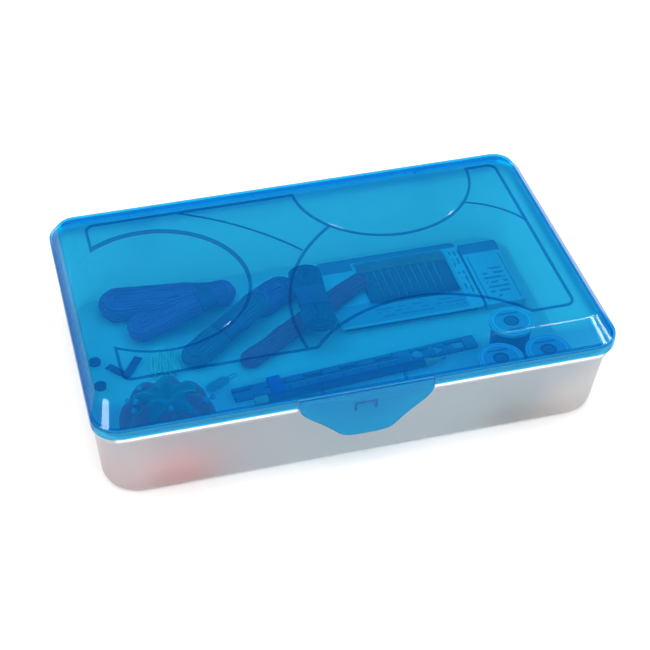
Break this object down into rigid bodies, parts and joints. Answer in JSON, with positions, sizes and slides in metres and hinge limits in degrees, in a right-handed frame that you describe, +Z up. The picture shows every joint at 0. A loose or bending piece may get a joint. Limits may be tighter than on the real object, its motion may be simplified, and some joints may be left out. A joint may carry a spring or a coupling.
{
  "type": "hinged plastic supply case with sewing notions",
  "caption": "Shallow rectangular supply case: frosted tub, clear blue hinged lid with a flexing front latch, holding a tomato pincushion, spools, floss, a gauge and needles.",
  "frame": {"origin": "centre of the tub's flat underside, on the surface that the case stands on", "axes": "+X to the right seen from the latch, +Y to the hinge side at the back, +Z up"},
  "size_m": [0.34, 0.2262, 0.072],
  "materials": {
    "tub_plastic": "frosted, see-through",
    "lid_plastic": "clear blue tint",
    "red_cloth": "cotton over stuffing",
    "green_felt": "felt",
    "steel": "polished",
    "pearl_plastic": "pearl",
    "gauge_plastic": "satin",
    "slider_plastic": "gloss",
    "pencil_paint": "lacquer",
    "graphite": "matt",
    "navy_card": "matt",
    "white_card": "coated card",
    "clear_film": "clear film",
    "rust_felt": "felt",
    "aluminium": "stamped",
    "plum_plastic": "gloss",
    "plum_ribbon": "satin",
    "spool_plastic": "satin",
    "teal_thread": "sewing thread",
    "white_thread": "sewing thread",
    "navy_thread": "sewing thread",
    "label_paper": "paper",
    "floss_purple": "cotton floss",
    "floss_plum": "cotton floss",
    "floss_violet": "cotton floss",
    "floss_grey": "cotton floss",
    "floss_red": "cotton floss",
    "floss_navy": "cotton floss",
    "floss_ecru": "cotton floss",
    "band_paper": "printed paper"
  },
  "bodies": {
    "case": {"tub": "tub_plastic", "pincushion_body": "red_cloth", "pincushion_leaves": "green_felt", "pin_shafts": "steel", "pin_heads": "pearl_plastic", "seam_gauge": "gauge_plastic", "pencil_barrel": "pencil_paint", "pencil_lead": "graphite", "needle_tray": "navy_card", "needle_card": "white_card", "card_window": "clear_film", "needle_strip": "rust_felt", "hand_needles": "steel", "notion_packet": "white_card", "threader_plate": "aluminium", "threader_wire": "steel", "shirt_buttons": "plum_plastic", "ribbon_end": "plum_ribbon", "spool_front": "spool_plastic", "thread_front": "teal_thread", "label_front": "label_paper", "spool_side": "spool_plastic", "thread_side": "white_thread", "label_side": "label_paper", "spool_back": "spool_plastic", "thread_back": "navy_thread", "label_back": "label_paper", "skein_purple": "floss_purple", "skein_plum": "floss_plum", "skein_violet": "floss_violet", "skein_grey": "floss_grey", "skein_red": "floss_red", "skein_navy": "floss_navy", "skein_ecru": "floss_ecru", "band_purple": "band_paper", "band_plum": "band_paper", "band_grey": "band_paper", "band_navy": "band_paper"},
    "lid": {"lid": "lid_plastic"},
    "latch": {"latch_tab": "lid_plastic"},
    "slider": {"gauge_slider": "slider_plastic"}
  },
  "joints": [
    {"name": "lid_hinge", "type": "hinge", "parent": "case", "child": "lid", "pos_m": [0, 0.1124, 0.0546], "axis": [-1, 0, 0], "range_deg": [0, 110]},
    {"name": "latch_flex", "type": "hinge", "parent": "lid", "child": "latch", "pos_m": [0, -0.1095, 0.063], "axis": [-1, 0, 0], "range_deg": [0, 28], "stiffness_Nm_per_rad": 0.05},
    {"name": "gauge_slide", "type": "slide", "parent": "case", "child": "slider", "axis": [0.9972, 0.0743, 0], "range_m": [0, 0.078]}
  ]
}
